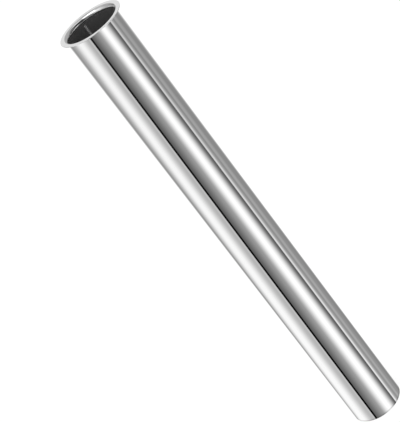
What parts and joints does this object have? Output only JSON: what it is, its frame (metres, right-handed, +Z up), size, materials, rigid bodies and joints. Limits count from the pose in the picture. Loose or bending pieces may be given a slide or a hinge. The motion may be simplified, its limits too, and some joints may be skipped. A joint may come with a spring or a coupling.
{
  "type": "basin waste tail pipe",
  "caption": "Straight thin-walled metal tube with a flat rolled collar at one end, carrying waste water from a basin outlet down into a trap.",
  "frame": {"origin": "centre of the square-cut lower end, in the plane it stands on", "axes": "+Z up the tube's axis to the collar; the weld bead inside lies 101 degrees round from +X towards +Y"},
  "size_m": [0.038, 0.038, 0.3],
  "materials": {
    "chromed_tube": "mirror polished outside, plain drawn metal in the bore"
  },
  "bodies": {
    "root": {"tail_pipe": "chromed_tube"}
  },
  "joints": []
}
